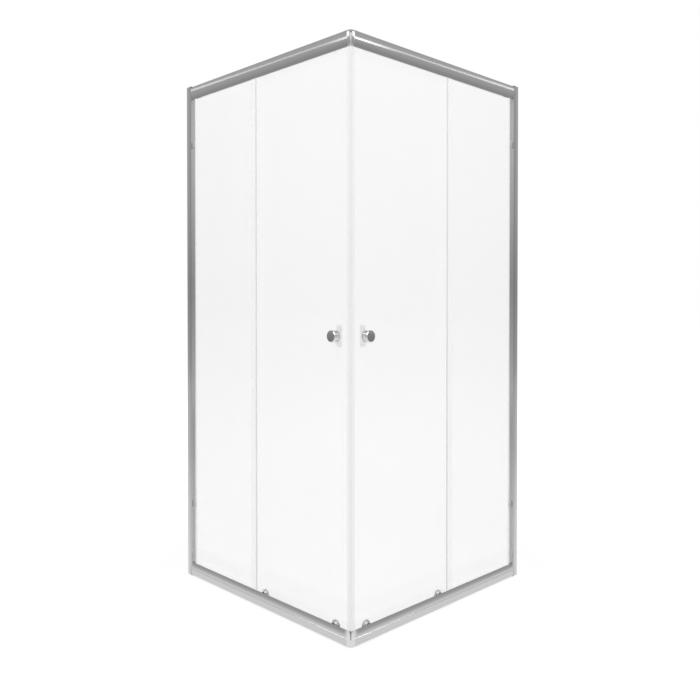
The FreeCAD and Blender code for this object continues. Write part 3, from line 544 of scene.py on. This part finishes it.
def cap_ring():
    """Dark gasket ring round the base of a roller cap, cut off above the lower wheel."""
    tip, radius = cap_axis()
    glass_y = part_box("door_glass_left")[0].y
    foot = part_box("lower_caps_left")[0].z + RING_FOOT_GAP
    centre = (tip.x, glass_y, tip.z)
    piece = begin(
        "cap_ring_front_left", bpy.ops.mesh.primitive_circle_add, vertices=RING_SIDES,
        radius=radius + RING_OUT, location=centre, rotation=FACING_OUT,
    )
    bpy.ops.object.mode_set(mode="EDIT")
    bpy.ops.mesh.select_all(action="SELECT")
    bpy.ops.mesh.extrude_edges_move()
    inner = (radius - RING_IN) / (radius + RING_OUT)
    bpy.ops.transform.resize(value=(inner, 1, inner), center_override=centre)
    bpy.ops.mesh.select_all(action="SELECT")
    bpy.ops.mesh.extrude_region_move(TRANSFORM_OT_translate={"value": (0, -RING_T, 0)})
    bpy.ops.mesh.select_all(action="SELECT")
    bpy.ops.mesh.normals_make_consistent(inside=False)
    bpy.ops.mesh.bisect(
        plane_co=(tip.x, glass_y, foot), plane_no=(0, 0, 1), clear_inner=True, use_fill=True
    )
    select_faces(piece, faces_out)
    bpy.ops.mesh.bevel(offset=RING_ROUND, segments=2, affect="EDGES")
    finish_piece(piece, "dark_ring")
    on_all_caps(piece)


HEAD_T = 0.002
HEAD_OVER = 0.0002
HEAD_ROUND = 0.0009
HEAD_SIDES = 32
RECESS_W = 0.0007
RECESS_LEN = 0.003
RECESS_DEPTH = 0.0011
GROUP_GAP = 0.1


def screw_places():
    """Middles of the left adjusting screws' heads, at their outer faces, and the head radius."""
    points = [v.co for v in nodes["adjusting_screws"].data.vertices if v.co.x < 0 and v.co.y < 0]
    face_y = max(point.y for point in points)
    rim = sorted((point for point in points if point.y > face_y - HEAD_OVER), key=lambda p: p.z)
    groups = [[rim[0]]]
    for point in rim[1:]:
        if point.z - groups[-1][-1].z > GROUP_GAP:
            groups.append([])
        groups[-1].append(point)
    radius = (groups[0][-1].z - groups[0][0].z) / 2
    x = (min(point.x for point in rim) + max(point.x for point in rim)) / 2
    return [Vector((x, face_y, (group[0].z + group[-1].z) / 2)) for group in groups], radius


def screw_heads():
    """Domed heads with a cross recess over the adjusting screws."""
    places, radius = screw_places()
    place = places[0]
    depth = HEAD_T + HEAD_OVER
    top = place + Vector((0, HEAD_OVER, 0))
    piece = begin(
        "screw_head_1_left", bpy.ops.mesh.primitive_cylinder_add, vertices=HEAD_SIDES,
        radius=radius + HEAD_OVER, depth=depth, location=top - Vector((0, depth / 2, 0)),
        rotation=FACING_IN,
    )
    select_faces(piece, faces_in)
    bpy.ops.mesh.bevel(offset=HEAD_ROUND, segments=4, affect="EDGES")
    for wide, high in ((RECESS_LEN, RECESS_W), (RECESS_W, RECESS_LEN)):
        bpy.ops.mesh.select_all(action="DESELECT")
        bpy.ops.mesh.primitive_cube_add(size=1, location=top, scale=(wide, 2 * RECESS_DEPTH, high))
        bpy.ops.mesh.intersect_boolean(operation="DIFFERENCE")
    finish_piece(piece, "steel")
    for count, there in enumerate(places[1:], 2):
        higher = copied(piece, f"screw_head_{count}_left", Matrix.Translation(there - place))
        on_both_sides(higher, "frame")
    on_both_sides(piece, "frame")


WIRE_R = 0.0003
WIRE_SIDES = 10
COIL_TURNS = 5
COIL_STEPS = 24


def coil_spring(end):
    """Coil spring over the lug of one release slider on the left door."""
    low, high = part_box("lower_springs_left")
    radius = (high.y - low.y) / 2 - WIRE_R
    rise = high.z - low.z - 2 * WIRE_R
    x = middle(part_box(f"lower_slider_{end}_left")).x
    piece = begin(
        f"release_spring_{end}_left", bpy.ops.mesh.primitive_circle_add, vertices=WIRE_SIDES,
        radius=WIRE_R, location=(radius, 0, 0), rotation=FACING_OUT,
    )
    wound = piece.modifiers.new("wound", "SCREW")
    wound.axis = "Z"
    wound.screw_offset = rise / COIL_TURNS
    wound.iterations = COIL_TURNS
    wound.steps = COIL_STEPS
    wound.render_steps = COIL_STEPS
    bpy.ops.object.modifier_apply(modifier=wound.name)
    bpy.ops.object.mode_set(mode="EDIT")
    bpy.ops.mesh.select_all(action="SELECT")
    bpy.ops.transform.translate(value=(x, (low.y + high.y) / 2, low.z + WIRE_R))
    bpy.ops.mesh.fill_holes(sides=0)
    bpy.ops.mesh.normals_make_consistent(inside=False)
    finish_piece(piece, "steel")
    return piece


def release_springs():
    """Seats the springs on their doors, in place of the plain spring parts."""
    for end in ENDS:
        left = coil_spring(end)
        right = copied(left, f"release_spring_{end}_right", TO_RIGHT)
        for side, piece in zip(SIDES, (left, right)):
            settle(piece, f"door_{side}")
            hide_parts(f"lower_springs_{side}")
            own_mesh(piece)


knob_inlay()
cap_tip()
cap_ring()
screw_heads()
release_springs()


# Camera, in the photograph's 700 by 700 frame

FRAME_PX = 700
LENS_PX = 757.9
AXIS_PX = 312.9
SENSOR_MM = 36
CLIP_NEAR = 0.05
CLIP_FAR = 200
EYE = (2.05, -2.0218, 1.0367)
EYE_TILT = 89.21
EYE_TURN = 45.56


def set_camera():
    lens = bpy.data.cameras.new("camera")
    lens.sensor_width = SENSOR_MM
    lens.lens = LENS_PX / FRAME_PX * SENSOR_MM
    lens.shift_y = (AXIS_PX - FRAME_PX / 2) / FRAME_PX
    lens.clip_start = CLIP_NEAR
    lens.clip_end = CLIP_FAR
    camera = bpy.data.objects.new("camera", lens)
    camera.location = EYE
    camera.rotation_euler = (math.radians(EYE_TILT), 0, math.radians(EYE_TURN))
    bpy.context.scene.collection.objects.link(camera)
    bpy.context.scene.camera = camera


# Studio: pale floor, a grey room and cards that only reflections see, soft lamps

def seen_directly(tree, reflected):
    """1 for a ray from the camera or through glass, and a share of that in a reflection."""
    rays = add(tree, "ShaderNodeLightPath").outputs
    mirrored = maths(tree, "MULTIPLY", rays["Is Glossy Ray"], reflected)
    bare = maths(tree, "MAXIMUM", rays["Is Camera Ray"], mirrored)
    return maths(tree, "MAXIMUM", bare, rays["Is Transmission Ray"])


FLOOR_SIZE = 60
FLOOR_TONES = [(0, 0.5), (1, 0.54)]
FILL_NEAR = 0.29
FILL_NEAR_THROUGH_GLASS = 0.45
FILL_FAR = 0.54
NEAR_M = 0.75
FAR_M = 2.6
FILL_IN_REFLECTION = 0.75


def floor_glow(tree):
    """Fill light of the floor: least near the object, where its shadow is seen bare."""
    through = add(tree, "ShaderNodeLightPath").outputs["Is Transmission Ray"]
    near = between(tree, through, FILL_NEAR, FILL_NEAR_THROUGH_GLASS)
    glow = between(tree, length(tree, object_place(tree)), near, FILL_FAR, NEAR_M, FAR_M)
    return maths(tree, "MULTIPLY", glow, seen_directly(tree, FILL_IN_REFLECTION))


def studio_floor():
    """Pale floor that keeps a soft shadow under the bottom rails."""
    floor = begin("studio_floor", bpy.ops.mesh.primitive_plane_add, size=FLOOR_SIZE)
    material = bpy.data.materials.new("studio_floor")
    material.use_nodes = True
    tree = material.node_tree
    grain = add(tree, "ShaderNodeTexNoise", {"Scale": 4.0, "Detail": 2.0}).outputs["Fac"]
    feed(
        tree, tree.nodes["Principled BSDF"], Base_Color=ramp(tree, grain, FLOOR_TONES),
        Roughness=0.9, Specular_IOR_Level=0.0, Emission_Color=(1, 1, 1, 1),
        Emission_Strength=floor_glow(tree),
    )
    floor.data.materials.append(material)


FIRST_REFLECTION = 1.5


def glow_only(name, colour_of, once=False):
    """Emission material for a stage piece, clear in a second reflection where it shows once."""
    material = bpy.data.materials.new(name)
    material.use_nodes = True
    tree = material.node_tree
    tree.nodes.remove(tree.nodes["Principled BSDF"])
    glow = add(tree, "ShaderNodeEmission", {"Color": colour_of(tree), "Strength": 1.0})
    seen = glow.outputs["Emission"]
    if once:
        depth = add(tree, "ShaderNodeLightPath").outputs["Glossy Depth"]
        again = maths(tree, "GREATER_THAN", depth, FIRST_REFLECTION)
        clear = add(tree, "ShaderNodeBsdfTransparent").outputs["BSDF"]
        seen = add(tree, "ShaderNodeMixShader", {0: again, 1: seen, 2: clear}).outputs["Shader"]
    tree.links.new(seen, tree.nodes["Material Output"].inputs["Surface"])
    return material


def show_in_reflections_only(piece):
    piece.visible_camera = False
    piece.visible_diffuse = False
    piece.visible_transmission = False
    piece.visible_shadow = False


ROOM_R = 9.0
ROOM_SIDES = 96
ROOM_LIFT = 0.002
ROOM_FLOOR_HOLE = 0.08
ROOM_ROOF_HOLE = 0.02
ROOM_TONES = [
    (0.04, 0.95), (0.08, 0.88), (0.17, 0.68), (0.45, 0.6), (0.52, 0.45), (0.57, 0.36),
    (0.63, 0.47), (0.69, 0.52), (0.8, 0.56), (1, 0.5),
]


def room_tone(tree):
    """Tone by the way out over the far floor and then up the wall, darkest at eye level."""
    split = add(tree, "ShaderNodeSeparateXYZ", {"Vector": object_place(tree)}).outputs
    plan = add(tree, "ShaderNodeCombineXYZ", {"X": split["X"], "Y": split["Y"]}).outputs["Vector"]
    way = maths(tree, "ADD", length(tree, plan), split["Z"])
    return ramp(tree, between(tree, way, 0.0, 1.0, end=2 * ROOM_R), ROOM_TONES)


def grey_room():
    """Round grey room, with a floor ring and a roof ring drawn in from its wall."""
    room = begin(
        "grey_room", bpy.ops.mesh.primitive_cylinder_add, vertices=ROOM_SIDES, radius=ROOM_R,
        depth=ROOM_R, end_fill_type="NOTHING", location=(0, 0, ROOM_R / 2 + ROOM_LIFT),
    )
    for high, hole in ((False, ROOM_FLOOR_HOLE), (True, ROOM_ROOF_HOLE)):
        bpy.ops.object.mode_set(mode="EDIT")
        bpy.ops.mesh.select_all(action="DESELECT")
        bpy.ops.object.mode_set(mode="OBJECT")
        rim = [v.index for v in room.data.vertices if (v.co.z > ROOM_R / 2) == high]
        for edge in room.data.edges:
            edge.select = all(index in rim for index in edge.vertices)
        bpy.ops.object.mode_set(mode="EDIT")
        bpy.ops.mesh.extrude_edges_move()
        bpy.ops.transform.resize(value=(hole, hole, 1))
        bpy.ops.object.mode_set(mode="OBJECT")
    room.data.materials.append(glow_only("grey_room", room_tone))
    show_in_reflections_only(room)


def height_tone(tree, stops):
    """Tone from (height, tone) stops."""
    top = stops[-1][0]
    height = add(tree, "ShaderNodeSeparateXYZ", {"Vector": object_place(tree)}).outputs["Z"]
    share = between(tree, height, 0.0, 1.0, end=top)
    return ramp(tree, share, [(z / top, tone) for z, tone in stops])


def card(name, place, turn, width, stops, once=False):
    """Upright card on the floor that only reflections see."""
    height = stops[-1][0]
    made = begin(name, bpy.ops.mesh.primitive_plane_add, size=1)
    made.scale = (width, height, 1)
    made.rotation_euler = (math.pi / 2, 0, math.radians(turn))
    made.location = (*place, height / 2)
    bpy.ops.object.transform_apply(location=True, rotation=True, scale=True)
    made.data.materials.append(glow_only(name, lambda tree: height_tone(tree, stops), once))
    show_in_reflections_only(made)


CAMERA_CARD = [
    (0, 0.95), (0.4, 0.75), (1.17, 0.5), (1.95, 0.76),
    (2.55, 0.96), (3.15, 1.05), (3.25, 0.08), (6, 0.08),
]
EDGE_CARD = [
    (0, 1.0), (0.006, 0.95), (0.014, 0.78), (0.022, 0.57), (0.03, 0.47), (0.038, 0.44), (0.06, 0.32),
]
CORNER_CARD = [(0, 0.85), (0.01, 0.65), (0.03, 0.3), (0.055, 0.15)]


def stand_cards():
    card("camera_side_card", (3.3, -3.3), turn=45, width=2.4, stops=CAMERA_CARD)
    card("edge_card_left", (-0.085, -0.52), turn=0, width=0.87, stops=EDGE_CARD, once=True)
    card("edge_card_right", (0.52, 0.085), turn=90, width=0.87, stops=EDGE_CARD, once=True)
    card("corner_card", (0.505, -0.505), turn=45, width=0.05, stops=CORNER_CARD)


def softbox(
    name, place, aim, size, power, roll=0, shape="RECTANGLE", colour=(1, 1, 1), lights=False, only=()
):
    """Area lamp that lights unseen or shows in reflections, on the named nodes alone if any are."""
    lamp = bpy.data.lights.new(name, "AREA")
    lamp.shape = shape
    lamp.size, lamp.size_y = size
    lamp.energy = power
    lamp.color = colour
    made = bpy.data.objects.new(name, lamp)
    made.location = place
    aimed = (Vector(aim) - Vector(place)).to_track_quat("-Z", "Y")
    made.rotation_euler = (aimed @ Quaternion((0, 0, 1), math.radians(roll))).to_euler()
    made.visible_glossy = not lights
    made.visible_diffuse = lights
    made.visible_transmission = lights
    bpy.context.scene.collection.objects.link(made)
    if only:
        lit = bpy.data.collections.new(f"{name}_lights")
        for node in only:
            lit.objects.link(nodes[node])
        made.light_linking.receiver_collection = lit


def softbox_pair(name, place, aim, size, power, roll=0, **more):
    """Softbox for the left side, and its mirror image for the right one."""
    softbox(f"{name}_left", place, aim, size, power, roll, **more)
    there = TO_RIGHT @ Vector(place)
    softbox(f"{name}_right", there, TO_RIGHT @ Vector(aim), size, power, -roll, **more)


WARM = (1, 0.86, 0.74)
TOP_CORNER = (0.445, -0.445, 1.8)
TOP = ("top_rail_left", "top_rail_right", "top_corner_connector")
BOTTOM = ("bottom_rail_left", "bottom_rail_right", "bottom_corner_connector")
CONNECTORS = ("top_corner_connector", "bottom_corner_connector")
CAPS = ("lower_caps_left", "lower_caps_right")
KNOBS = ("door_knob_left", "door_knob_right")


def hang_lamps():
    softbox("softbox_above", (1.4, -1.4, 6.0), (0, 0, 0.9), (5.0, 5.0), power=200, lights=True)
    softbox(
        "strip_left", (-4.1, -4.67, 3.1), (-0.4, -4.67, 1.9), (3.6, 0.14), power=1.4, roll=11, only=TOP
    )
    softbox(
        "strip_right", (4.67, 4.1, 3.1), (4.67, 0.4, 1.9), (3.6, 0.14), power=1.6, roll=-11, only=TOP
    )
    softbox(
        "glow_left", (-3.82, -5.28, 2.95), (-0.15, -1.75, 1.7), (0.76, 0.38), power=1.0,
        shape="ELLIPSE", only=TOP,
    )
    softbox(
        "glow_right", (5.5, 3.75, 2.97), (1.6, 0.2, 1.7), (1.5, 0.4), power=2.9,
        shape="ELLIPSE", only=TOP,
    )
    for name, power, lit in (("connector_window", 60, CONNECTORS), ("cap_window", 30, CAPS)):
        softbox_pair(name, (-0.6, -5.3, 4.6), TOP_CORNER, (5.4, 4.0), power, only=lit)
    softbox_pair(
        "crease", (-2.62, -3.2, 1.8), (0.36, -0.445, 0.03), (0.42, 2.2), power=14, only=BOTTOM
    )
    softbox(
        "warm_left", (3.0, 2.9, 3.6), (0.35, -0.47, 0.93), (1.1, 1.1), power=2.6,
        colour=WARM, only=KNOBS,
    )
    softbox(
        "warm_right", (-2.9, -2.4, 4.03), (0.47, -0.35, 0.93), (1.1, 1.1), power=4.4,
        colour=WARM, only=KNOBS,
    )
    softbox_pair(
        "rim", (1.5, -2.79, 3.31), (0.35, -0.48, 0.93), (0.6, 2.8), power=20, roll=31, only=KNOBS
    )


WORLD_LIGHT = 0.97


def white_world():
    """White surroundings, a trace dimmer as light than as they are seen."""
    world = bpy.data.worlds.new("white_world")
    bpy.context.scene.world = world
    world.use_nodes = True
    tree = world.node_tree
    feed(
        tree, tree.nodes["Background"], Color=(1, 1, 1, 1),
        Strength=between(tree, seen_directly(tree, 1.0), WORLD_LIGHT, 1.0),
    )


SHADED_ALONE = ("rail", "corner", "post", "channel", "gasket", "seal", "glass", "knob", "caps", "cap_")
SEEN_THROUGH = ("handle", "glass", "seal", "magnet", "knob")


def set_ray_visibility():
    """Keeps the frame's shadow to its bottom, and thins out what panes and reflections show."""
    for piece in [thing for thing in bpy.data.objects if thing.type == "MESH"]:
        if any(word in piece.name for word in SHADED_ALONE):
            piece.visible_shadow = piece.name in BOTTOM
            piece.visible_diffuse = False
        if piece.name in nodes and not any(word in piece.name for word in SEEN_THROUGH):
            piece.visible_transmission = False
        if "glass_" in piece.name and "gasket" not in piece.name:
            piece.visible_glossy = False


set_camera()
studio_floor()
grey_room()
hang_lamps()
stand_cards()
white_world()
set_ray_visibility()
bpy.context.scene.view_settings.view_transform = "Standard"
